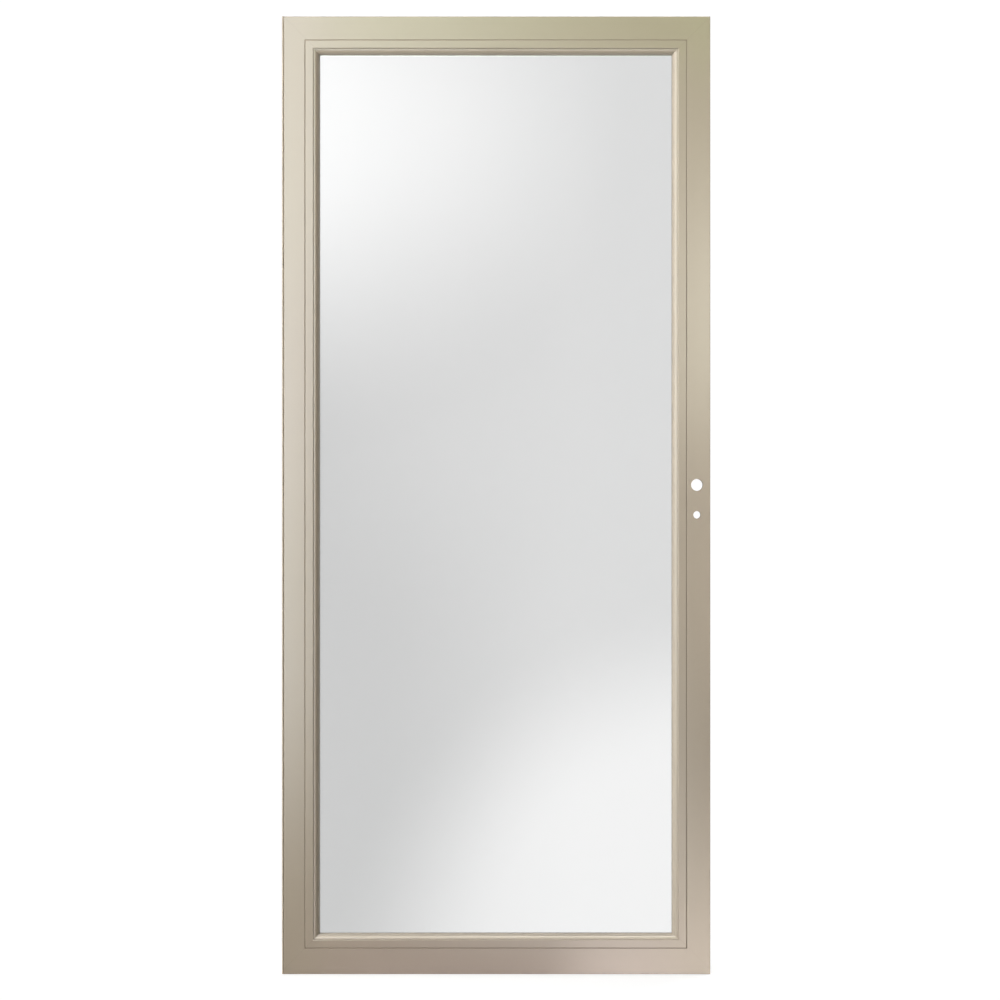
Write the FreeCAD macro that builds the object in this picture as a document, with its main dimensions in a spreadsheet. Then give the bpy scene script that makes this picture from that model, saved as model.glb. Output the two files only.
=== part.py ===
import FreeCAD, Part
import math
import os
import re

import Sketcher
from FreeCAD import Placement, Rotation, Vector

# Full-view aluminium storm door: a mitred leaf of hollow extrusions round one pane, on a full-length hinge.
# X runs from the hinge edge to the latch edge, Y from outside to inside, Z up.
# The origin is on the jamb face of the hinge, level with its lower end, in the middle of the door's depth.

doc = FreeCAD.newDocument("storm_door")

# Driving dimensions in millimetres: name, value, meaning
SIZES = [
    ("leaf_width", 905, "door leaf, hinge edge to latch edge"),
    ("leaf_height", 2032, "door leaf, bottom edge to top edge"),
    ("leaf_depth", 38, "door leaf, outer face to inner face"),
    ("fit_gap", 0.3, "clearance of a piece that slips into another"),
    ("face_width", 49, "outer flat of latch stile and rails, edge to groove"),
    ("hinge_face_width", 44, "outer flat of hinge stile, edge to groove"),
    ("foot_drop", 5, "legs under the bottom rail that take a sweep"),
    ("groove_width", 2.4, "fine groove between outer flat and lip"),
    ("groove_depth", 0.65, "depth of that groove"),
    ("lip_width", 17, "lip inside the groove"),
    ("lip_thickness", 3.4, "thickness of the lip"),
    ("lip_round", 2, "rounding of the lip's edge"),
    ("tube_wall", 1.8, "walls of the hollow stiles and rails"),
    ("edge_radius", 1.0, "rounding of the long edges"),
    ("rib_setback", 8, "retainer rib, back from the inner face"),
    ("rib_thickness", 1.4, "retainer rib, across the depth"),
    ("rib_reach", 1.8, "retainer rib, out from the tube"),
    ("key_leg", 90, "corner key, corner to end of each leg"),
    ("key_wall", 3, "walls and floor of the corner key"),
    ("insert_clearance", 1.6, "space between tube and insert frame"),
    ("insert_wall", 1.4, "walls of the insert frame"),
    ("quirk_width", 1, "sunk line between lip and bead"),
    ("bead_rise", 0.6, "bead's crown above the sunk line"),
    ("bead_land", 0.8, "flat on the crown of the bead"),
    ("bead_radius", 10.8, "rounded fall of the bead to the glass"),
    ("bead_nose", 0.6, "upright edge of the bead at the glass"),
    ("glass_thickness", 3.2, "pane"),
    ("gasket_thickness", 1.0, "glazing gasket, each side of the pane"),
    ("gasket_show", 0.7, "gasket past the bead"),
    ("retainer_reach", 22, "foot of the retainer, out from the tube"),
    ("retainer_toe", 1.6, "upright edge of the retainer's foot"),
    ("retainer_crown", 5, "flat on top of the retainer"),
    ("retainer_setback", 4, "retainer's crown, back from the inner face"),
    ("retainer_wall", 1.3, "walls of the retainer"),
    ("upper_bore_radius", 12.7, "upper handle hole"),
    ("lower_bore_radius", 8, "lower handle hole"),
    ("bore_backset", 28, "handle holes, in from the latch edge"),
    ("bore_height", 1038, "upper handle hole, up from the leaf's bottom edge"),
    ("bore_spacing", 63.5, "upper handle hole to lower handle hole"),
    ("hinge_plate", 1.5, "thickness of each hinge leaf"),
    ("hinge_gap", 1, "space between the closed hinge leaves"),
    ("hinge_setback", 2, "back edge of the hinge leaves, from the inner face"),
    ("axis_setback", 1.2, "hinge axis, in from the leaf's outer face"),
    ("pin_radius", 0.8, "hinge pin"),
    ("pin_clearance", 0.06, "radial clearance of the pin"),
    ("pin_head_radius", 1.5, "head on top of the pin"),
    ("pin_head_height", 0.8, "height of that head"),
    ("knuckle_radius", 1.7, "outside of the knuckles"),
    ("knuckle_count", 27, "knuckles along the hinge"),
    ("knuckle_gap", 0.6, "space between neighbouring knuckles"),
    ("knuckle_relief", 0.6, "space round a knuckle in the other leaf"),
    ("screw_count", 8, "screw holes in the jamb leaf"),
    ("screw_radius", 2.2, "screw hole"),
    ("screw_head_radius", 3.6, "countersink of the screw hole"),
    ("screw_end", 90, "first screw hole from the hinge's end"),
    ("cut_margin", 20, "how far a cutting outline runs past what it cuts"),
]
ALIASES = {alias for alias, value, note in SIZES}

sheet = doc.addObject("Spreadsheet::Sheet", "Sizes")
for row, (alias, value, note) in enumerate(SIZES, start=1):
    sheet.set(f"A{row}", note)
    sheet.set(f"B{row}", str(value))
    sheet.setAlias(f"B{row}", alias)
doc.recompute()

# Places worked out from the driving dimensions, as expressions of the sheet

LEAF_LEFT = "(2 * hinge_plate + hinge_gap)"
LEAF_RIGHT = f"({LEAF_LEFT} + leaf_width)"
OUTER_FACE = "(-leaf_depth / 2)"
EDGE_ROUND = "min(edge_radius; 0.6 * tube_wall)"
LIP_ROUND = "min(lip_round; 0.9 * lip_thickness)"

# Across the extrusions, from the groove inward
LIP_END = "(groove_width + lip_width)"
INSERT_START = "(groove_width + insert_clearance)"
QUIRK_END = f"({LIP_END} + quirk_width)"
BEAD_CROWN_END = f"({QUIRK_END} + bead_land)"
BEAD_NOSE = f"({BEAD_CROWN_END} + bead_radius)"
GLASS_CHANNEL = f"({BEAD_CROWN_END} + insert_wall)"
GASKET_END = f"({BEAD_NOSE} + gasket_show)"

# Through the depth, from the outer face inward
BEAD_CROWN = "(lip_thickness - bead_rise)"
BEAD_CENTRE = f"({BEAD_CROWN} + bead_radius)"
CHANNEL_FRONT = f"({BEAD_CENTRE} + bead_nose)"
GLASS_FRONT = f"({CHANNEL_FRONT} + gasket_thickness)"
GLASS_BACK = f"({GLASS_FRONT} + glass_thickness)"
CHANNEL_BACK = f"({GLASS_BACK} + gasket_thickness)"
INSERT_BACK = f"({CHANNEL_BACK} + insert_wall)"
RIB = "(leaf_depth - rib_setback)"
RETAINER_CROWN = "(leaf_depth - retainer_setback)"

# The hinge: its axis is midway between jamb and leaf, and the knuckles clear both
AXIS_X = "(hinge_plate + hinge_gap / 2)"
AXIS_Y = "(-leaf_depth / 2 + axis_setback)"
KNUCKLE_RADIUS = f"min(knuckle_radius; {AXIS_X} - fit_gap)"
HINGE_BACK = "(leaf_depth / 2 - hinge_setback)"
KNUCKLE_PITCH = "(leaf_height / knuckle_count)"
SCREW_LINE = f"(({HINGE_BACK} + {AXIS_Y} + {KNUCKLE_RADIUS}) / 2)"
SCREW_SPAN = "(leaf_height - 2 * screw_end)"


def bound(expression):
    """The expression with every driving dimension written as its cell in the sheet."""

    def cell(match):
        word = match.group()
        return "Sizes." + word if word in ALIASES else word

    return re.sub(r"[a-z]\w*", cell, expression)


def number(expression):
    """What an expression of driving dimensions comes to."""
    return float(sheet.evalExpression(expression))


# Building blocks


def new_body(label):
    body = doc.addObject("PartDesign::Body", label)
    body.Label = label
    return body


def origin_feature(body, role):
    return next(feature for feature in body.Origin.OriginFeatures if feature.Role == role)


def new_sketch(body, name, role):
    sketch = body.newObject("Sketcher::SketchObject", name)
    sketch.AttachmentSupport = (origin_feature(body, role), [""])
    sketch.MapMode = "FlatFace"
    return sketch


def constrain(sketch, bindings):
    """Adds constraints with their values bound to the sheet, given as (arguments, expression) pairs."""
    constraints = []
    for arguments, expression in bindings:
        constraints.append(Sketcher.Constraint(*arguments, number(expression)))
    indices = sketch.addConstraint(constraints)
    for index, (arguments, expression) in zip(indices, bindings):
        sketch.setExpression(f"Constraints[{index}]", bound(expression))


def arc_through(start, end, radius, turn):
    """Arc from start to end that turns left (1) or right (-1), and which of its ends is the start."""
    chord = end - start
    left = Vector(-chord.y, chord.x, 0).normalize()
    rise = math.sqrt(max(0.0, radius**2 - (chord.Length / 2) ** 2))
    centre = (start + end) / 2 + left * rise * turn
    angles = [math.atan2(point.y - centre.y, point.x - centre.x) for point in (start, end)]
    first, last = angles if turn > 0 else reversed(angles)
    circle = Part.Circle(centre, Vector(0, 0, 1), radius)
    return Part.ArcOfCircle(circle, first, last), 1 if turn > 0 else 2


def add_outline(sketch, corners):
    """Closed outline through corners (across, along), each a pair of expressions.

    A corner with two more entries, a radius and a turn, starts an arc to the next corner.
    """
    points = [Vector(number(corner[0]), number(corner[1]), 0) for corner in corners]
    ends = []
    bindings = []
    for corner, start, end in zip(corners, points, points[1:] + points[:1]):
        if len(corner) == 2:
            index = sketch.addGeometry(Part.LineSegment(start, end))
            ends.append((index, 1, 2))
        else:
            radius, turn = corner[2:]
            arc, start_end = arc_through(start, end, number(radius), turn)
            index = sketch.addGeometry(arc)
            ends.append((index, start_end, 3 - start_end))
            bindings.append((("Radius", index), radius))
        bindings.append((("DistanceX", -1, 1, index, ends[-1][1]), corner[0]))
        bindings.append((("DistanceY", -1, 1, index, ends[-1][1]), corner[1]))
    joins = []
    for (index, start_end, far_end), (following, next_start, next_far) in zip(ends, ends[1:] + ends[:1]):
        joins.append(Sketcher.Constraint("Coincident", index, far_end, following, next_start))
    sketch.addConstraint(joins)
    constrain(sketch, bindings)


def add_rectangle(sketch, left, right, low, high):
    add_outline(sketch, [(left, low), (right, low), (right, high), (left, high)])


def add_circle(sketch, across, along, radius):
    centre = Vector(number(across), number(along), 0)
    index = sketch.addGeometry(Part.Circle(centre, Vector(0, 0, 1), number(radius)))
    constrain(
        sketch,
        [
            (("DistanceX", -1, 1, index, 3), across),
            (("DistanceY", -1, 1, index, 3), along),
            (("Radius", index), radius),
        ],
    )


def pad(body, sketch, length):
    feature = body.newObject("PartDesign::Pad", "Pad")
    feature.Profile = sketch
    feature.setExpression("Length", bound(length))
    return feature


def cut_through(body, sketch, name):
    """Pocket right through the body, both ways from the sketch."""
    doc.recompute()
    before = body.Shape.Volume
    feature = body.newObject("PartDesign::Pocket", name)
    feature.Profile = sketch
    feature.SideType = "Symmetric"
    feature.Type = "ThroughAll"
    doc.recompute()
    if not body.Shape.Volume < before:
        raise RuntimeError(f"{body.Label}: {name} cuts nothing")
    return feature


def repeat_up(body, feature, span, count):
    """Copies of a feature evenly along Z, the first and last a span apart."""
    pattern = body.newObject("PartDesign::LinearPattern", "Row")
    pattern.Originals = [feature]
    pattern.Direction = (origin_feature(body, "Z_Axis"), [""])
    pattern.setExpression("Length", bound(span))
    pattern.setExpression("Occurrences", bound(count))
    body.Tip = pattern
    doc.recompute()
    return pattern


def place(body, corner, turn):
    """Turns a body about Y and moves its origin to a corner given as three expressions."""
    body.Placement = Placement(Vector(*[number(value) for value in corner]), Rotation(Vector(0, 1, 0), turn))
    for axis, value in zip("xyz", corner):
        body.setExpression(f"Placement.Base.{axis}", bound(value))


# The four sides of the leaf, clockwise from the hinge side as seen from outside.
# Each side's own X runs inward from its outer edge, Y from outside to inside, and Z along the side,
# so one section serves all four: turned by a quarter from each side to the next.

QUARTER = 90
SIDES = ("hinge", "top", "latch", "bottom")
FRAME_NAMES = ("hinge_stile", "top_rail", "latch_stile", "bottom_rail")


def ring(left, right, low, high):
    """Start corner, turn and length of each side of an upright rectangle."""
    tall = f"({high} - {low})"
    wide = f"({right} - {left})"
    corners = ((left, low), (left, high), (right, high), (right, low))
    lengths = (tall, wide, tall, wide)
    return [
        ((across, OUTER_FACE, up), QUARTER * index, length)
        for index, ((across, up), length) in enumerate(zip(corners, lengths))
    ]


LEAF_RING = ring(LEAF_LEFT, LEAF_RIGHT, "0", "leaf_height")
TUBE_RING = ring(LEAF_LEFT, LEAF_RIGHT, "foot_drop", "leaf_height")
GROOVE_RING = ring(
    f"({LEAF_LEFT} + hinge_face_width)",
    f"({LEAF_RIGHT} - face_width)",
    "(foot_drop + face_width)",
    "(leaf_height - face_width)",
)
TUBE_FACES = ("hinge_face_width", "face_width", "face_width", "face_width")
FEET = ("0", "0", "0", "foot_drop")


def mitre(body, length, reach, start_shift, end_shift):
    """Cuts both ends of a side at 45 degrees; a shift moves the cut along the side."""
    sketch = new_sketch(body, "MitreLines", "XZ_Plane")
    near = "(-cut_margin)"
    far = f"({reach} + cut_margin)"
    start_low = f"({near} + {start_shift})"
    start_high = f"({far} + {start_shift})"
    end_high = f"({length} - {near} - {end_shift})"
    end_low = f"({length} - {far} - {end_shift})"
    add_outline(sketch, [(near, start_low), (far, start_low), (far, start_high)])
    add_outline(sketch, [(near, end_high), (far, end_low), (far, end_high)])
    cut_through(body, sketch, "Mitres")


def extruded_side(label, section, hollow, side, reach, shifts=("0", "0")):
    """One mitred extrusion: an outline, the hollow inside it if any, and its place in a ring."""
    corner, turn, length = side
    body = new_body(label)
    sketch = new_sketch(body, "Section", "XY_Plane")
    add_outline(sketch, section)
    if hollow:
        add_outline(sketch, hollow)
    pad(body, sketch, length)
    mitre(body, length, reach, *shifts)
    place(body, corner, turn)
    return body


# Stiles and rails


def frame_section(groove, foot):
    """Section of a stile or rail: tube, grooved face, lip and retainer rib; a foot adds two legs."""
    tube = f"({groove} + groove_width)"
    lip = f"({groove} + {LIP_END})"
    back_round = f"(leaf_depth - {EDGE_ROUND})"
    foot_edge = [("0", back_round), ("0", EDGE_ROUND, EDGE_ROUND, 1)]
    if foot != "0":
        foot_edge[1:1] = [
            ("0", "leaf_depth - tube_wall"),
            (foot, "leaf_depth - tube_wall"),
            (foot, "tube_wall"),
            ("0", "tube_wall"),
        ]
    return [
        (EDGE_ROUND, "0"),
        (groove, "0"),
        (f"{groove} + groove_width / 2", "groove_depth"),
        (tube, "0"),
        (f"{lip} - {LIP_ROUND}", "0", LIP_ROUND, 1),
        (lip, LIP_ROUND),
        (lip, "lip_thickness"),
        (tube, "lip_thickness"),
        (tube, RIB),
        (f"{tube} + rib_reach", RIB),
        (f"{tube} + rib_reach", f"{RIB} + rib_thickness"),
        (tube, f"{RIB} + rib_thickness"),
        (tube, back_round, EDGE_ROUND, 1),
        (f"{tube} - {EDGE_ROUND}", "leaf_depth"),
        (EDGE_ROUND, "leaf_depth", EDGE_ROUND, 1),
    ] + foot_edge


def frame_hollow(groove, foot):
    near = f"({foot} + tube_wall)"
    far = f"({groove} + groove_width - tube_wall)"
    return [
        (near, "tube_wall"),
        (far, "tube_wall"),
        (far, "leaf_depth - tube_wall"),
        (near, "leaf_depth - tube_wall"),
    ]


def drill_handle_holes(body):
    """Two holes right through the latch stile, whose own Z runs down from the top."""
    sketch = new_sketch(body, "HandleHoles", "XZ_Plane")
    upper = "(leaf_height - bore_height)"
    add_circle(sketch, "bore_backset", upper, "upper_bore_radius")
    add_circle(sketch, "bore_backset", f"({upper} + bore_spacing)", "lower_bore_radius")
    cut_through(body, sketch, "HandleBores")


# Where neighbours differ in width, the mitre is shifted so that it still runs through the groove's corner.
GROOVES = [f"({foot} + {face})" for foot, face in zip(FEET, TUBE_FACES)]

frame_sides = []
for index, (label, side, groove, foot) in enumerate(zip(FRAME_NAMES, LEAF_RING, GROOVES, FEET)):
    before = GROOVES[index - 1]
    after = GROOVES[(index + 1) % len(GROOVES)]
    shifts = (f"({before} - {groove})", f"({after} - {groove})")
    reach = f"({groove} + {LIP_END})"
    section = frame_section(groove, foot)
    frame_sides.append(extruded_side(label, section, frame_hollow(groove, foot), side, reach, shifts))
drill_handle_holes(frame_sides[FRAME_NAMES.index("latch_stile")])


# Corner keys


def corner_key(label, side, face, face_before):
    """Open L-shaped key that fills the hollow of a side and of the side before it at their mitre."""
    corner, turn, _ = side
    near = "(tube_wall + fit_gap)"
    far, far_before = [f"({flat} + groove_width - tube_wall - fit_gap)" for flat in (face, face_before)]
    body = new_body(label)
    block = new_sketch(body, "Block", "XZ_Plane")
    add_outline(block, angle_outline(near, far, far_before, "key_leg"))
    front = "(tube_wall + fit_gap)"
    block.setExpression("AttachmentOffset.Base.z", bound(f"(-{front})"))
    solid = pad(body, block, "leaf_depth - 2 * tube_wall - 2 * fit_gap")
    solid.Reversed = True
    doc.recompute()
    before = body.Shape.Volume
    tray = new_sketch(body, "Tray", "XZ_Plane")
    inner_near = f"({near} + key_wall)"
    inner_fars = (f"({far} - key_wall)", f"({far_before} - key_wall)")
    add_outline(tray, angle_outline(inner_near, *inner_fars, "(key_leg - key_wall)"))
    tray.setExpression("AttachmentOffset.Base.z", bound(f"(-{front} - key_wall)"))
    hollow = body.newObject("PartDesign::Pocket", "Hollow")
    hollow.Profile = tray
    hollow.Type = "ThroughAll"
    doc.recompute()
    if not body.Shape.Volume < before:
        raise RuntimeError(f"{label}: the tray cuts nothing")
    place(body, corner, turn)


def angle_outline(near, far, far_before, leg):
    return [(near, near), (leg, near), (leg, far_before), (far, far_before), (far, leg), (near, leg)]


KEY_NAMES = ("bottom_hinge", "top_hinge", "top_latch", "bottom_latch")
for index, (name, side, face) in enumerate(zip(KEY_NAMES, TUBE_RING, TUBE_FACES)):
    corner_key(f"corner_key_{name}", side, face, TUBE_FACES[index - 1])


# Insert frame with its bead, glass channel and hollow core

insert_section = [
    (INSERT_START, "lip_thickness"),
    (QUIRK_END, "lip_thickness"),
    (QUIRK_END, BEAD_CROWN),
    (BEAD_CROWN_END, BEAD_CROWN, "bead_radius", 1),
    (BEAD_NOSE, BEAD_CENTRE),
    (BEAD_NOSE, CHANNEL_FRONT),
    (GLASS_CHANNEL, CHANNEL_FRONT),
    (GLASS_CHANNEL, CHANNEL_BACK),
    (BEAD_NOSE, CHANNEL_BACK),
    (BEAD_NOSE, INSERT_BACK),
    (INSERT_START, INSERT_BACK),
]
BEAD_INSIDE = "(bead_radius - insert_wall)"
insert_hollow = [
    (f"{INSERT_START} + insert_wall", "lip_thickness + insert_wall"),
    (BEAD_CROWN_END, "lip_thickness + insert_wall"),
    (BEAD_CROWN_END, f"{BEAD_CROWN} + insert_wall", BEAD_INSIDE, 1),
    (
        f"{BEAD_CROWN_END} + sqrt({BEAD_INSIDE} ^ 2 - (insert_wall - bead_nose) ^ 2)",
        f"{CHANNEL_FRONT} - insert_wall",
    ),
    (BEAD_CROWN_END, f"{CHANNEL_FRONT} - insert_wall"),
    (BEAD_CROWN_END, f"{INSERT_BACK} - insert_wall"),
    (f"{INSERT_START} + insert_wall", f"{INSERT_BACK} - insert_wall"),
]
for name, side in zip(SIDES, GROOVE_RING):
    extruded_side(f"insert_{name}", insert_section, insert_hollow, side, GASKET_END)


# Glazing gasket, a channel round the edge of the pane

gasket_section = [
    (GLASS_CHANNEL, CHANNEL_FRONT),
    (GASKET_END, CHANNEL_FRONT),
    (GASKET_END, GLASS_FRONT),
    (f"{GLASS_CHANNEL} + gasket_thickness", GLASS_FRONT),
    (f"{GLASS_CHANNEL} + gasket_thickness", GLASS_BACK),
    (GASKET_END, GLASS_BACK),
    (GASKET_END, CHANNEL_BACK),
    (GLASS_CHANNEL, CHANNEL_BACK),
]
for name, side in zip(SIDES, GROOVE_RING):
    extruded_side(f"gasket_{name}", gasket_section, None, side, GASKET_END)


# Glass pane

pane_edge = f"({GLASS_CHANNEL} + gasket_thickness + fit_gap)"
pane_corner, pane_turn, pane_height = GROOVE_RING[0]
pane_width = GROOVE_RING[1][2]
pane = new_body("glass_pane")
pane_sketch = new_sketch(pane, "Section", "XY_Plane")
add_rectangle(pane_sketch, pane_edge, f"({pane_width} - {pane_edge})", GLASS_FRONT, GLASS_BACK)
pane_sketch.setExpression("AttachmentOffset.Base.z", bound(pane_edge))
pad(pane, pane_sketch, f"{pane_height} - 2 * {pane_edge}")
place(pane, pane_corner, pane_turn)


# Inner retainers: hollow strips with a curved face, snapped in under the rib

RETAINER_WALL_SIDE = "(groove_width + fit_gap)"
RETAINER_NECK = f"({RETAINER_WALL_SIDE} + rib_reach)"
RETAINER_FOOT = "(groove_width + retainer_reach)"
RETAINER_SHOULDER = f"({RIB} - fit_gap)"


def curved_face(low, high):
    """A corner that starts an arc to the next one, with a radius equal to its chord."""
    chord = f"sqrt(({low[0]} - {high[0]}) ^ 2 + ({low[1]} - {high[1]}) ^ 2)"
    return (*low, chord, 1)


face_low = (RETAINER_FOOT, f"({INSERT_BACK} + retainer_toe)")
face_high = (f"({RETAINER_NECK} + retainer_crown)", RETAINER_CROWN)
retainer_section = [
    (RETAINER_WALL_SIDE, INSERT_BACK),
    (RETAINER_FOOT, INSERT_BACK),
    curved_face(face_low, face_high),
    face_high,
    (RETAINER_NECK, RETAINER_CROWN),
    (RETAINER_NECK, RETAINER_SHOULDER),
    (RETAINER_WALL_SIDE, RETAINER_SHOULDER),
]
inside_low = (f"({RETAINER_FOOT} - 2 * retainer_wall)", f"({INSERT_BACK} + retainer_wall)")
inside_high = (
    f"({RETAINER_NECK} + retainer_crown - retainer_wall / 2)",
    f"({RETAINER_CROWN} - retainer_wall)",
)
retainer_hollow = [
    (f"({RETAINER_WALL_SIDE} + retainer_wall)", inside_low[1]),
    curved_face(inside_low, inside_high),
    inside_high,
    (f"({RETAINER_NECK} + retainer_wall)", inside_high[1]),
    (f"({RETAINER_NECK} + retainer_wall)", f"({RETAINER_SHOULDER} - retainer_wall)"),
    (f"({RETAINER_WALL_SIDE} + retainer_wall)", f"({RETAINER_SHOULDER} - retainer_wall)"),
]
for name, side in zip(SIDES, GROOVE_RING):
    extruded_side(f"retainer_{name}", retainer_section, retainer_hollow, side, RETAINER_FOOT)


# Full-length hinge


def hinge_leaf(label, mirrored, first_notch, notch_count):
    """Plate curled into a knuckle tube, then notched where the other leaf's knuckles lie."""
    turn = 1 if mirrored else -1

    def across(value):
        return f"(2 * {AXIS_X} - {value})" if mirrored else value

    tangent_rise = f"sqrt({KNUCKLE_RADIUS} ^ 2 - (hinge_gap / 2) ^ 2)"
    body = new_body(label)
    section = new_sketch(body, "Section", "XY_Plane")
    add_outline(
        section,
        [
            (across("0"), HINGE_BACK),
            (across("hinge_plate"), HINGE_BACK),
            (across("hinge_plate"), f"{AXIS_Y} + {tangent_rise}", KNUCKLE_RADIUS, turn),
            (across(f"({AXIS_X} + {KNUCKLE_RADIUS})"), AXIS_Y, KNUCKLE_RADIUS, turn),
            (AXIS_X, f"{AXIS_Y} - {KNUCKLE_RADIUS}", KNUCKLE_RADIUS, turn),
            (across(f"({AXIS_X} - {KNUCKLE_RADIUS})"), AXIS_Y),
            (across("0"), f"{AXIS_Y} + {KNUCKLE_RADIUS}"),
        ],
    )
    add_circle(section, AXIS_X, AXIS_Y, "(pin_radius + pin_clearance)")
    pad(body, section, "leaf_height")
    notch = new_sketch(body, "Notch", "YZ_Plane")
    low = f"({first_notch} * {KNUCKLE_PITCH} - knuckle_gap / 2)"
    high = f"({low} + {KNUCKLE_PITCH} + knuckle_gap)"
    front = f"({AXIS_Y} - {KNUCKLE_RADIUS} - cut_margin)"
    back = f"({AXIS_Y} + {KNUCKLE_RADIUS} + knuckle_relief)"
    add_rectangle(notch, front, back, low, high)
    cut = cut_through(body, notch, "Notches")
    repeat_up(body, cut, f"2 * {KNUCKLE_PITCH} * ({notch_count} - 1)", notch_count)
    return body


def drill_screw_holes(body):
    """Row of countersunk screw holes, opening towards the door."""
    before = body.Shape.Volume
    sketch = new_sketch(body, "ScrewHole", "YZ_Plane")
    add_circle(sketch, SCREW_LINE, "screw_end", "screw_radius")
    sketch.setExpression("AttachmentOffset.Base.z", bound("hinge_plate"))
    doc.recompute()
    hole = body.newObject("PartDesign::Hole", "Screw")
    hole.Profile = sketch
    hole.DepthType = "ThroughAll"
    hole.setExpression("Diameter", bound("2 * screw_radius"))
    hole.HoleCutType = "Countersink"
    hole.HoleCutCustomValues = True
    hole.setExpression("HoleCutDiameter", bound("2 * screw_head_radius"))
    hole.HoleCutCountersinkAngle = QUARTER
    doc.recompute()
    repeat_up(body, hole, SCREW_SPAN, "screw_count")
    if not body.Shape.Volume < before:
        raise RuntimeError(f"{body.Label}: the screw holes cut nothing")


jamb_leaf = hinge_leaf("hinge_jamb_leaf", False, 1, "floor(knuckle_count / 2)")
drill_screw_holes(jamb_leaf)
hinge_leaf("hinge_door_leaf", True, 0, "floor((knuckle_count + 1) / 2)")

pin = new_body("hinge_pin")
pin_outline = new_sketch(pin, "Outline", "XZ_Plane")
pin_top = "(leaf_height + pin_head_height)"
add_outline(
    pin_outline,
    [
        ("0", "0"),
        ("pin_radius", "0"),
        ("pin_radius", "leaf_height"),
        ("pin_head_radius", "leaf_height"),
        ("pin_head_radius", pin_top),
        ("0", pin_top),
    ],
)
spun = pin.newObject("PartDesign::Revolution", "Spun")
spun.Profile = pin_outline
spun.ReferenceAxis = (pin_outline, ["V_Axis"])
place(pin, (AXIS_X, AXIS_Y, "0"), 0)

doc.recompute()

# Checks, then one file for each piece

for item in doc.Objects:
    if "Invalid" in item.State or "Error" in item.State:
        raise RuntimeError(f"{item.Label} failed: {item.State}")

bodies = [item for item in doc.Objects if item.TypeId == "PartDesign::Body"]
for body in bodies:
    if body.Shape.isNull() or not body.Shape.isValid() or len(body.Shape.Solids) != 1:
        raise RuntimeError(f"{body.Label} is not one valid solid")

os.makedirs("parts", exist_ok=True)
for body in bodies:
    body.Shape.exportStep(f"parts/{body.Label}.step")
    box = body.Shape.BoundBox
    print(
        f"{body.Label}: {body.Shape.Volume / 1000:.1f} cm3, "
        f"x {box.XMin:.1f} to {box.XMax:.1f}, y {box.YMin:.1f} to {box.YMax:.1f}, "
        f"z {box.ZMin:.1f} to {box.ZMax:.1f}"
    )
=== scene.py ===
import math

import bmesh
import bpy
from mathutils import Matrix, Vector


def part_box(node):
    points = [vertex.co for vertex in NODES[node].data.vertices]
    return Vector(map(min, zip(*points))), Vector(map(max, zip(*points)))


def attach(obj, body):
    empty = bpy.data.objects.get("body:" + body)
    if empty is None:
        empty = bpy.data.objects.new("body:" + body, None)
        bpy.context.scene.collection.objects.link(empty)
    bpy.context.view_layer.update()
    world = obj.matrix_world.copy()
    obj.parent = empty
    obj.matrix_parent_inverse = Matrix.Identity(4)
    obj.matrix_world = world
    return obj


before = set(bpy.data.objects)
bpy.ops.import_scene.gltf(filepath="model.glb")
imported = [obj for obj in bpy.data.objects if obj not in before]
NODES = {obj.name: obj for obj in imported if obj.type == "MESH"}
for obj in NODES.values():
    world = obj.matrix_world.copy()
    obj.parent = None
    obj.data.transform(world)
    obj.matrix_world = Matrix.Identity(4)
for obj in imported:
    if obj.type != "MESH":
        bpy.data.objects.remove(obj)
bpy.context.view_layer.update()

# The photograph's framing: metres a pixel on the outer face, and where the middle of its picture falls
PICTURE = 1000
METRES_PER_PIXEL = 0.0021215
AIM = Vector((0.4628, -0.019, 1.006))
DISTANCE = 11.0

SIDES = ("hinge", "top", "latch", "bottom")
FRAME_SIDES = ("hinge_stile", "top_rail", "latch_stile", "bottom_rail")
INSERTS = [f"insert_{side}" for side in SIDES]
GASKETS = [f"gasket_{side}" for side in SIDES]
RETAINERS = [f"retainer_{side}" for side in SIDES]
KEYS = [f"corner_key_{corner}" for corner in ("bottom_hinge", "top_hinge", "top_latch", "bottom_latch")]
HINGE_LEAVES = ("hinge_jamb_leaf", "hinge_door_leaf")


def add(name, data):
    thing = bpy.data.objects.new(name, data)
    bpy.context.scene.collection.objects.link(thing)
    return thing


# Material building blocks


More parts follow.
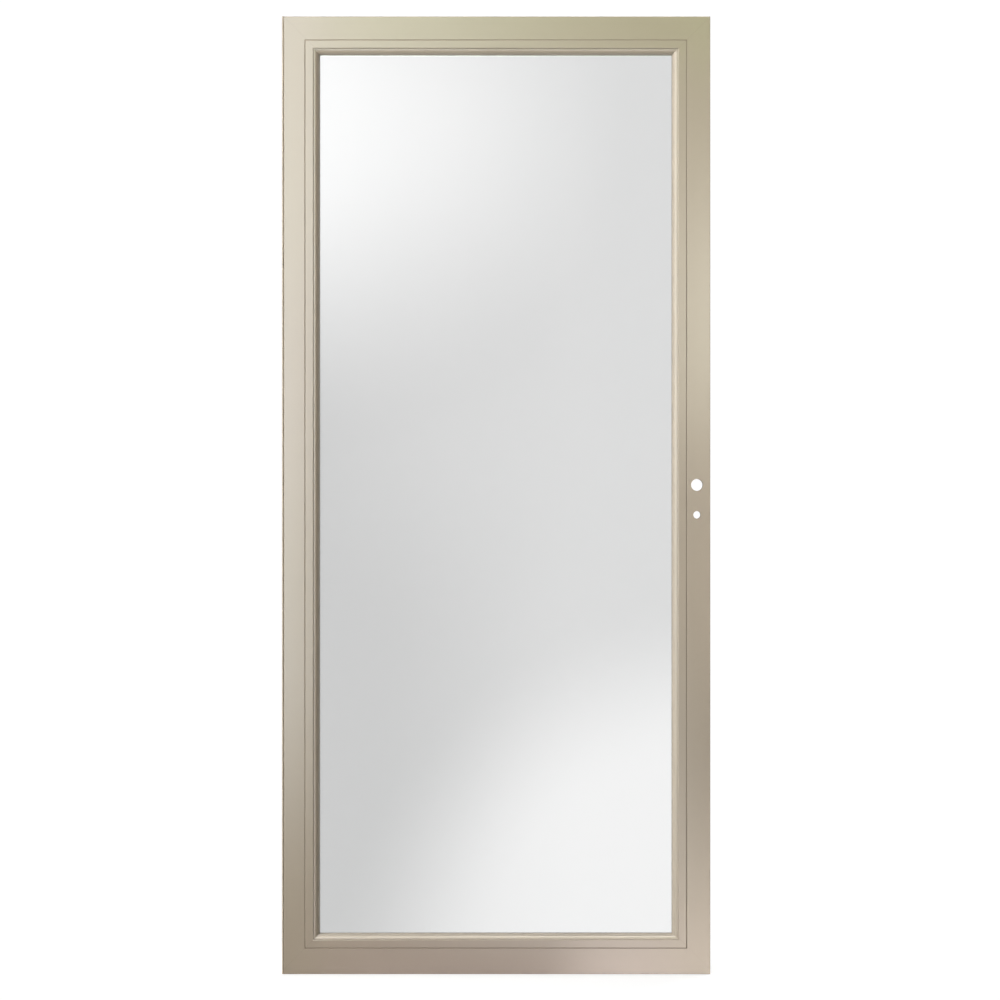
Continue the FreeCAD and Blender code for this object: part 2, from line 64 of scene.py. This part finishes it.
class Graph:
    """A material's nodes, made by short calls. A value is a number, a colour or another node's output."""

    def __init__(self, name):
        self.material = bpy.data.materials.new(name)
        self.material.use_nodes = True
        self.nodes = self.material.node_tree.nodes
        self.links = self.material.node_tree.links
        self.shader = self.nodes["Principled BSDF"]
        self.output = self.nodes["Material Output"]
        self.where = self.nodes.new("ShaderNodeTexCoord").outputs["Object"]

    def node(self, kind, inputs=None, **settings):
        node = self.nodes.new(kind)
        for key, value in settings.items():
            setattr(node, key, value)
        for key, value in (inputs or {}).items():
            self.put(node.inputs[key], value)
        return node

    def put(self, socket, value):
        if isinstance(value, bpy.types.NodeSocket):
            self.links.new(value, socket)
        else:
            socket.default_value = value

    def set(self, **inputs):
        for key, value in inputs.items():
            self.put(self.shader.inputs[key.replace("_", " ")], value)

    def show(self, shader):
        self.links.new(shader, self.output.inputs["Surface"])

    def math(self, operation, *values, clamp=False):
        inputs = dict(enumerate(values))
        return self.node("ShaderNodeMath", inputs, operation=operation, use_clamp=clamp).outputs[0]

    def noise(self, scale, detail, stretch=(1, 1, 1)):
        place = self.node("ShaderNodeMapping", {"Vector": self.where, "Scale": stretch}).outputs[0]
        inputs = {"Vector": place, "Scale": scale, "Detail": detail}
        return self.node("ShaderNodeTexNoise", inputs).outputs["Fac"]

    def remap(self, value, low, high, new_low, new_high, smooth=False):
        inputs = {"Value": value, "From Min": low, "From Max": high, "To Min": new_low, "To Max": new_high}
        kind = "SMOOTHSTEP" if smooth else "LINEAR"
        return self.node("ShaderNodeMapRange", inputs, interpolation_type=kind).outputs[0]

    def mix(self, factor, first, second):
        node = self.node("ShaderNodeMix", data_type="RGBA")
        for index, value in zip((0, 6, 7), (factor, first, second)):
            self.put(node.inputs[index], value)
        return node.outputs[2]

    def bump(self, height, strength, depth, normal=None):
        inputs = {"Height": height, "Strength": strength, "Distance": depth}
        if normal:
            inputs["Normal"] = normal
        return self.node("ShaderNodeBump", inputs).outputs[0]

    def axes(self):
        return self.node("ShaderNodeSeparateXYZ", {"Vector": self.where}).outputs


def colour(red, green, blue):
    return (red, green, blue, 1.0)


def past_edges(graph, low, high):
    """How far each point lies past a box's edges, across and up, as seen from the front."""
    x, _, z = graph.axes()
    distances = []
    for axis, value in ((0, x), (2, z)):
        middle = (low[axis] + high[axis]) / 2
        half = (high[axis] - low[axis]) / 2
        offset = graph.math("ABSOLUTE", graph.math("SUBTRACT", value, middle))
        distances.append(graph.math("SUBTRACT", offset, half))
    return distances


def mitre_seam(graph, width):
    """One on the hairline where two sides meet at a corner, nought elsewhere."""
    distances = past_edges(graph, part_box("hinge_stile")[0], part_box("latch_stile")[1])
    off_line = graph.math("ABSOLUTE", graph.math("SUBTRACT", *distances))
    return graph.remap(off_line, width * 0.5, width * 1.5, 1.0, 0.0, smooth=True)


# The fine groove's middle, outward of the insert, and the heights between which its painted shade thins out
GROOVE_PAST_INSERT = 0.0028
GROOVE_SHADE_THINS = (0.058, 0.08)


def groove_line(graph, width):
    """One along the middle of the fine groove round the lip, nought elsewhere."""
    distances = past_edges(graph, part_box("insert_hinge")[0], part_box("insert_latch")[1])
    past_line = graph.math("SUBTRACT", graph.math("MAXIMUM", *distances), GROOVE_PAST_INSERT)
    return graph.remap(graph.math("ABSOLUTE", past_line), width * 0.3, width, 1.0, 0.0, smooth=True)


def paint(name, base, shade, roughness, coat_roughness=0.09, coat_ior=1.8, seam=False):
    """Satin baked enamel: a faint cloudiness, fine flecks and the orange peel of a sprayed coat.

    With seam it also has the mitres' hairlines, and painted shade in the fine groove, heavier at the bottom.
    """
    graph = Graph(name)
    clouds = graph.remap(graph.noise(2.6, detail=4), 0.3, 0.7, 0.0, 0.7)
    flecks = graph.remap(graph.noise(2600, detail=1), 0.3, 0.7, -0.15, 0.35)
    painted = graph.mix(graph.math("ADD", clouds, flecks, clamp=True), colour(*base), colour(*shade))
    normal = graph.bump(graph.noise(520, detail=2), 0.05, 0.0004)
    if seam:
        line = mitre_seam(graph, 0.0002)
        painted = graph.mix(graph.math("MULTIPLY", line, 0.3), painted, colour(0.10, 0.085, 0.06))
        normal = graph.bump(graph.math("SUBTRACT", 1.0, line), 0.3, 0.0003, normal)
        # Painted shade: the fine groove is darkened, most strongly along the bottom rail
        shade_weight = graph.remap(graph.axes()[2], *GROOVE_SHADE_THINS, 0.9, 0.45)
        dust_and_groove_shade = graph.math("MULTIPLY", groove_line(graph, 0.0012), shade_weight)
        painted = graph.mix(dust_and_groove_shade, painted, colour(0.16, 0.115, 0.075))
    rub = graph.noise(34, detail=5)
    graph.set(
        Base_Color=painted,
        Roughness=graph.remap(rub, 0.3, 0.7, roughness - 0.03, roughness + 0.04),
        Normal=normal,
        Specular_IOR_Level=0.2,
        Coat_Weight=1.0,
        Coat_Roughness=coat_roughness,
        Coat_IOR=coat_ior,
    )
    return graph.material


def window_glass():
    """Clear glass with a faint film, and a coat that makes its reflections as strong as the photograph's."""
    graph = Graph("window_glass")
    film = graph.noise(1.7, detail=5, stretch=(1, 1, 0.5))
    clouds = graph.remap(film, 0.3, 0.7, 0.0, 1.0)
    graph.set(
        Base_Color=graph.mix(clouds, colour(0.643, 0.648, 0.648), colour(0.664, 0.664, 0.664)),
        Roughness=graph.remap(film, 0.35, 0.75, 0.0, 0.012),
        IOR=1.5,
        Transmission_Weight=1.0,
        Coat_Weight=1.0,
        Coat_Roughness=0.0,
        Coat_IOR=1.8,
    )
    return graph.material


def rubber():
    graph = Graph("gasket_rubber")
    dust_and_groove_shade = graph.remap(graph.noise(60, detail=6), 0.35, 0.7, 0, 1)
    grain = graph.noise(1800, detail=2)
    graph.set(
        Base_Color=graph.mix(dust_and_groove_shade, colour(0.38, 0.33, 0.25), colour(0.44, 0.385, 0.295)),
        Roughness=graph.remap(grain, 0.3, 0.7, 0.6, 0.75),
        Normal=graph.bump(grain, 0.2, 0.0003),
    )
    return graph.material


def vinyl():
    graph = Graph("retainer_vinyl")
    clouds = graph.remap(graph.noise(4, detail=4), 0.3, 0.7, 0, 1)
    grain = graph.noise(900, detail=2)
    line = mitre_seam(graph, 0.0004)
    tone = graph.mix(clouds, colour(0.49, 0.415, 0.315), colour(0.53, 0.455, 0.35))
    graph.set(
        Base_Color=graph.mix(graph.math("MULTIPLY", line, 0.6), tone, colour(0.11, 0.09, 0.07)),
        Roughness=graph.remap(grain, 0.3, 0.7, 0.4, 0.5),
        Normal=graph.bump(grain, 0.08, 0.0003),
    )
    return graph.material


def bare_metal(name, base, shade, roughness, stretch=(1, 1, 1)):
    """Drawn or cast metal with stains and a fine grain, which stretch draws out into streaks."""
    graph = Graph(name)
    streaks = graph.noise(700, detail=4, stretch=stretch)
    stains = graph.remap(graph.noise(30, detail=5), 0.35, 0.7, 0, 1)
    graph.set(
        Base_Color=graph.mix(stains, colour(*base), colour(*shade)),
        Metallic=1.0,
        Roughness=graph.remap(streaks, 0.3, 0.7, roughness - 0.06, roughness + 0.1),
        Normal=graph.bump(streaks, 0.12, 0.0002),
    )
    return graph.material


# Finishes of the CAD nodes

SAND = (0.50, 0.418, 0.310)
SAND_SHADE = (0.475, 0.395, 0.292)
BEAD = (0.55, 0.46, 0.341)
BEAD_SHADE = (0.523, 0.435, 0.321)
# The hinge paint is the sand enamel made lighter: painted light that lifts the shade on the hinge barrels and in
# the gap beside them
HINGE_LIGHTENED = (0.60, 0.505, 0.38)
HINGE_LIGHTENED_SHADE = (0.57, 0.478, 0.357)
finishes = {
    paint("frame_enamel", SAND, SAND_SHADE, 0.33, seam=True): FRAME_SIDES,
    paint("bead_enamel", BEAD, BEAD_SHADE, 0.33, coat_roughness=0.2, coat_ior=2.2, seam=True): INSERTS,
    paint("hinge_enamel_lightened", HINGE_LIGHTENED, HINGE_LIGHTENED_SHADE, 0.36): HINGE_LEAVES,
    window_glass(): ("glass_pane",),
    rubber(): GASKETS,
    vinyl(): RETAINERS,
    bare_metal("key_aluminium", (0.66, 0.66, 0.68), (0.58, 0.58, 0.59), 0.4): KEYS,
    bare_metal("pin_steel", (0.55, 0.55, 0.56), (0.45, 0.44, 0.43), 0.3, (1, 1, 0.02)): ("hinge_pin",),
}
for finish, names in finishes.items():
    for name in names:
        for slot in NODES[name].material_slots:
            slot.material = finish


# Rivets that hold the hinge to the stile, in the gap between the closed hinge leaves

LEAF_THICKNESS = 0.0015
RIVET_INWARD = 0.003
RIVET_TURNS = 20
# Radius, and rise from the hinge leaf, from the sunk mandrel end out to the rim below its surface
RIVET_PROFILE = [
    (0.0, 0.00038),
    (0.0007, 0.00038),
    (0.0008, 0.00056),
    (0.0013, 0.00060),
    (0.0021, 0.00048),
    (0.0027, 0.00026),
    (0.0029, 0.00008),
    (0.0029, -0.0001),
]


def rivet_row(count, from_end):
    """Low domed rivet heads with a sunk mandrel end, standing on the hinge leaf and facing the jamb."""
    low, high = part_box("hinge_door_leaf")
    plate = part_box("hinge_stile")[0].x - LEAF_THICKNESS
    depth = (low.y + high.y) / 2 + RIVET_INWARD
    angles = [2 * math.pi * step / RIVET_TURNS for step in range(RIVET_TURNS)]
    mesh = bmesh.new()
    for number in range(count):
        up = low.z + from_end + (high.z - low.z - 2 * from_end) * number / (count - 1)
        centre = mesh.verts.new((plate - RIVET_PROFILE[0][1], depth, up))
        rings = []
        for radius, rise in RIVET_PROFILE[1:]:
            points = [(plate - rise, depth + radius * math.cos(a), up + radius * math.sin(a)) for a in angles]
            rings.append([mesh.verts.new(point) for point in points])
        for step in range(RIVET_TURNS):
            following = (step + 1) % RIVET_TURNS
            mesh.faces.new((centre, rings[0][step], rings[0][following]))
            for inner, outer in zip(rings, rings[1:]):
                mesh.faces.new((inner[step], outer[step], outer[following], inner[following]))
        mesh.faces.new(rings[-1])
    bmesh.ops.recalc_face_normals(mesh, faces=mesh.faces)
    data = bpy.data.meshes.new("hinge_rivets")
    mesh.to_mesh(data)
    mesh.free()
    data.shade_smooth()
    return add("hinge_rivets", data)


rivets = rivet_row(count=12, from_end=0.055)
rivets.data.materials.append(bare_metal("rivet_aluminium", (0.66, 0.65, 0.62), (0.56, 0.55, 0.53), 0.34))
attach(rivets, "door_leaf")


# Camera, square on from outside with a long lens

SENSOR = 36
camera = add("camera", bpy.data.cameras.new("camera"))
bpy.context.scene.camera = camera
camera.location = AIM - Vector((0, DISTANCE, 0))
camera.rotation_euler = (math.pi / 2, 0, 0)
camera.data.sensor_width = SENSOR
camera.data.lens = SENSOR * DISTANCE / (PICTURE * METRES_PER_PIXEL)
camera.data.clip_end = 200


# Stage: a pale floor, white surroundings, soft lights and the cards that the satin paint and the glass reflect

SEEN_WHITE = 1.04


def seen_directly(nodes, links):
    """One for what is seen straight or through the glass, nought for light that falls on the door."""
    path = nodes.new("ShaderNodeLightPath").outputs
    either = nodes.new("ShaderNodeMath")
    either.operation = "MAXIMUM"
    links.new(path["Is Camera Ray"], either.inputs[0])
    links.new(path["Is Transmission Ray"], either.inputs[1])
    return either.outputs[0]


def floor(radius, shadow_from, shadow_to, near_glow, glow):
    """A pale disc that takes the door's shadow near it, and fades to an even white further out.

    near_glow lifts the shadowed part where it is seen, and glow is the light that the rest throws on the door.
    """
    mesh = bmesh.new()
    bmesh.ops.create_circle(mesh, cap_ends=True, segments=96, radius=radius)
    data = bpy.data.meshes.new("floor")
    mesh.to_mesh(data)
    mesh.free()
    plane = add("floor", data)
    plane.location = (AIM.x, 0, -0.0005)
    plane.visible_glossy = False
    graph = Graph("floor_white")
    speckle = graph.noise(3, detail=4)
    seen = seen_directly(graph.nodes, graph.links)
    graph.set(
        Base_Color=graph.mix(speckle, colour(0.55, 0.55, 0.545), colour(0.58, 0.58, 0.575)),
        Roughness=0.9,
        Emission_Color=colour(1, 1, 1),
        Emission_Strength=graph.math("MULTIPLY", seen, near_glow),
    )
    far = graph.node("ShaderNodeVectorMath", {0: graph.where}, operation="LENGTH").outputs["Value"]
    near = graph.remap(far, shadow_from, shadow_to, 1, 0, smooth=True)
    strength = graph.remap(seen, 0, 1, glow, SEEN_WHITE)
    bare = graph.node("ShaderNodeEmission", {"Strength": strength}).outputs[0]
    graph.show(graph.node("ShaderNodeMixShader", {0: near, 1: bare, 2: graph.shader.outputs[0]}).outputs[0])
    data.materials.append(graph.material)


def surroundings(outside, inside, patches):
    """White where seen directly. Elsewhere dim on the door's outer side and lighter on its inner side.

    A patch (axis, start, end, strength) lies in one direction and shows as a reflection only.
    """
    world = bpy.data.worlds.new("surroundings")
    bpy.context.scene.world = world
    world.use_nodes = True
    nodes, links = world.node_tree.nodes, world.node_tree.links
    heading = nodes.new("ShaderNodeSeparateXYZ")
    links.new(nodes.new("ShaderNodeTexCoord").outputs["Generated"], heading.inputs[0])

    def ramp(axis, *ends):
        node = nodes.new("ShaderNodeMapRange")
        node.interpolation_type = "SMOOTHSTEP"
        for key, value in zip(("From Min", "From Max", "To Min", "To Max"), ends):
            node.inputs[key].default_value = value
        links.new(heading.outputs[axis], node.inputs["Value"])
        return node.outputs[0]

    falling = ramp("Y", -0.1, 0.4, outside, inside)
    reflected = nodes.new("ShaderNodeLightPath").outputs["Is Glossy Ray"]
    for axis, start, end, level in patches:
        patch = nodes.new("ShaderNodeMath")
        patch.operation = "MULTIPLY_ADD"
        links.new(reflected, patch.inputs[0])
        links.new(ramp(axis, start, end, 0.0, level), patch.inputs[1])
        links.new(falling, patch.inputs[2])
        falling = patch.outputs[0]
    strength = nodes.new("ShaderNodeMix")
    links.new(seen_directly(nodes, links), strength.inputs["Factor"])
    links.new(falling, strength.inputs["A"])
    strength.inputs["B"].default_value = SEEN_WHITE
    background = nodes["Background"]
    background.inputs["Color"].default_value = colour(1, 1, 1)
    links.new(strength.outputs[0], background.inputs["Strength"])


def soft_light(name, place, aim, width, height, power):
    """An area light that shades the door and isn't mirrored in it."""
    lamp = bpy.data.lights.new(name, "AREA")
    lamp.shape = "RECTANGLE"
    lamp.size = width
    lamp.size_y = height
    lamp.energy = power
    light = add(name, lamp)
    light.location = place
    light.rotation_euler = (Vector(aim) - Vector(place)).to_track_quat("-Z", "Y").to_euler()
    light.visible_glossy = False
    light.visible_transmission = False


CARD_BEHIND = 0.6
CARD_GAP = 0.01
CARD_SPREAD = (2 * DISTANCE + CARD_BEHIND) / DISTANCE


def card(name, depth, across, up, brightness, ramps=(), disc=None, tint=(1, 1, 1)):
    """A glowing card behind the camera, laid out in metres on the door's outer face, where it is mirrored.

    across and up are its reach there. depth is its own number, so that no two cards lie in one plane.
    A ramp (x, z, start, end) brightens it along a direction, and a disc (x, z, edge, core, stretch) from
    a rim to a middle, stretched upright.
    """
    data = bpy.data.meshes.new(name)
    corners = [(across[0], 0, up[0]), (across[1], 0, up[0]), (across[1], 0, up[1]), (across[0], 0, up[1])]
    data.from_pydata(corners, [], [(0, 1, 2, 3)])
    plane = add(name, data)
    plane.location = AIM * (1 - CARD_SPREAD)
    plane.location.y = AIM.y - DISTANCE - CARD_BEHIND - CARD_GAP * depth
    plane.scale = (CARD_SPREAD, 1, CARD_SPREAD)
    graph = Graph(name)
    graph.nodes.remove(graph.shader)
    strength = brightness
    for x, z, start, end in ramps:
        along = graph.node("ShaderNodeVectorMath", {0: graph.where, 1: (x, 0, z)}, operation="DOT_PRODUCT")
        fade = graph.remap(along.outputs["Value"], start, end, 0, 1, smooth=True)
        strength = graph.math("MULTIPLY", fade, strength)
    if disc:
        x, z, edge, core, stretch = disc
        squat = graph.node("ShaderNodeMapping", {"Vector": graph.where, "Scale": (1, 1, 1 / stretch)}).outputs[0]
        gap = graph.node("ShaderNodeVectorMath", {0: squat, 1: (x, 0, z / stretch)}, operation="DISTANCE")
        fade = graph.remap(gap.outputs["Value"], core, edge, 1, 0, smooth=True)
        strength = graph.math("MULTIPLY", fade, strength)
    light = graph.node("ShaderNodeEmission", {"Color": colour(*tint), "Strength": strength}).outputs[0]
    clear = graph.node("ShaderNodeBsdfTransparent").outputs[0]
    graph.show(graph.node("ShaderNodeAddShader", {0: light, 1: clear}).outputs[0])
    data.materials.append(graph.material)
    plane.visible_camera = False
    plane.visible_diffuse = False
    plane.visible_transmission = False
    plane.visible_shadow = False


floor(radius=70, shadow_from=0.6, shadow_to=1.05, near_glow=0.6, glow=0.32)
ABOVE_LEFT_BELOW = [("Z", 0.88, 0.97, 1.1), ("X", -0.88, -0.97, 1.1), ("Z", -0.88, -0.97, 0.45)]
surroundings(outside=0.055, inside=0.45, patches=ABOVE_LEFT_BELOW)

LEAF_MIDDLE = (0.46, 0, 1.1)
soft_light("key", (-3.6, -6.6, 5.4), LEAF_MIDDLE, 1.6, 1.6, 43)
soft_light("left", (-4.0, -1.8, 1.4), LEAF_MIDDLE, 1.8, 2.8, 165)
soft_light("overhead", (0.3, -1.6, 4.7), (0.46, 0, 1.0), 2.0, 1.6, 84)
soft_light("behind", (1.8, 4.2, 3.2), LEAF_MIDDLE, 1.6, 1.6, 160)

# Cards mirrored by the glass
GLASS = ((0.081, 0.828), (0.087, 1.951))
card("glass_upper_left", 0, *GLASS, 3.2, disc=(-0.03, 1.83, 0.81, 0.1, 0.89))
card("glass_right", 1, *GLASS, 0.95, [(1, 0, 0.16, 0.66)])
card("glass_lower_right", 2, *GLASS, 1.45, disc=(0.97, -0.08, 0.9, 0.55, 1.0))
card("glass_middle_left", 16, *GLASS, 0.42, disc=(0.26, 1.16, 0.36, 0, 1.3))

# Cards mirrored by the paint round it
FULL_UP = (-0.5, 2.5)
BETWEEN = (0.075, 0.836)
LEFT = ((-0.5, 0.075), FULL_UP)
RIGHT = ((0.836, 1.5), FULL_UP)
TOP_UP = (1.952, 2.5)
BOTTOM = (BETWEEN, (-0.5, 0.080))
card("left_low", 3, *LEFT, 3.5, [(0, 1, 0.04, 0.73)], tint=(1, 1.04, 1.05))
card("left_middle", 17, *LEFT, 0.4, [(0, 1, 0.75, 1.2), (0, -1, -1.75, -1.3)], tint=(0.4, 0, 1))
card("left_high", 4, *LEFT, 0.8, [(0, 1, 0.6, 1.2), (0, -1, -2.1, -1.5)], tint=(1, 1.1, 0.62))
card("right_even", 5, *RIGHT, 1.75, [(0, -1, -2.3, -1.5), (0, 1, 0.4, 0.78)], tint=(1, 0.86, 0.7))
card("right_high", 6, *RIGHT, 2.9, [(0, 1, 0.98, 1.36), (0, -1, -1.88, -1.4)], tint=(0.98, 1, 0.83))
card("right_low", 7, *RIGHT, 4.2, [(0, -1, -0.6, 0.05)], tint=(1, 0.87, 0.76))
card("right_yellow", 18, *RIGHT, 0.18, [(0, 1, 1.5, 1.9)], tint=(0.2, 1, 0))
card("top_left", 8, BETWEEN, TOP_UP, 2.4, [(-1, 0, -0.9, 0.0)], tint=(1, 1.17, 0.97))
card("top_yellow", 9, (0.075, 1.5), TOP_UP, 0.62, [(1, 0, -0.3, 0.6)], tint=(0.45, 1, 0.0))
card("bottom_even", 10, *BOTTOM, 0.65, tint=(1, 0.55, 0.95))
card("bottom_right", 11, *BOTTOM, 4.2, [(1, 0, 0.598, 0.634)], tint=(1, 0.88, 0.8))

# Cards to the left, above and below, mirrored by the rounded bead, with soft edges for the other views
SOFT_ENDS_UP = [(0, 1, -1.2, -0.2), (0, -1, -3.2, -2.2)]
SOFT_ENDS_ACROSS = [(1, 0, -1.0, -0.1), (-1, 0, -2.0, -1.0)]
FAR_LEFT = ((-10, -0.9), (-3, 5))
FAR_ABOVE = ((-4, 5), (2.5, 10))
FAR_BELOW = ((-4, 5), (-10, -0.9))
LEFT_FADE = SOFT_ENDS_UP + [(-1, 0, 0.9, 1.5), (1, 0, -10, -4)]
ABOVE_FADE = SOFT_ENDS_ACROSS + [(0, 1, 2.5, 3.2), (0, -1, -10, -4)]
BELOW_FADE = SOFT_ENDS_ACROSS + [(0, -1, 0.9, 1.6)]
LEFT_TINT = (1, 0.97, 0.88)
ABOVE_TINT = (1, 0.94, 0.86)
card("bead_left", 12, *FAR_LEFT, 1.5, LEFT_FADE, tint=LEFT_TINT)
card("bead_left_high", 19, *FAR_LEFT, 2.2, LEFT_FADE + [(0, 1, 0.2, 1.35)], tint=LEFT_TINT)
card("bead_above", 13, *FAR_ABOVE, 3.3, ABOVE_FADE, tint=ABOVE_TINT)
card("bead_above_right", 14, *FAR_ABOVE, 2.8, ABOVE_FADE + [(1, 0, 0.45, 0.75)], tint=ABOVE_TINT)
card("bead_below", 15, *FAR_BELOW, 1.0, BELOW_FADE, tint=(1, 0.95, 0.7))

scene = bpy.context.scene
scene.view_settings.view_transform = "Standard"
scene.view_settings.look = "None"
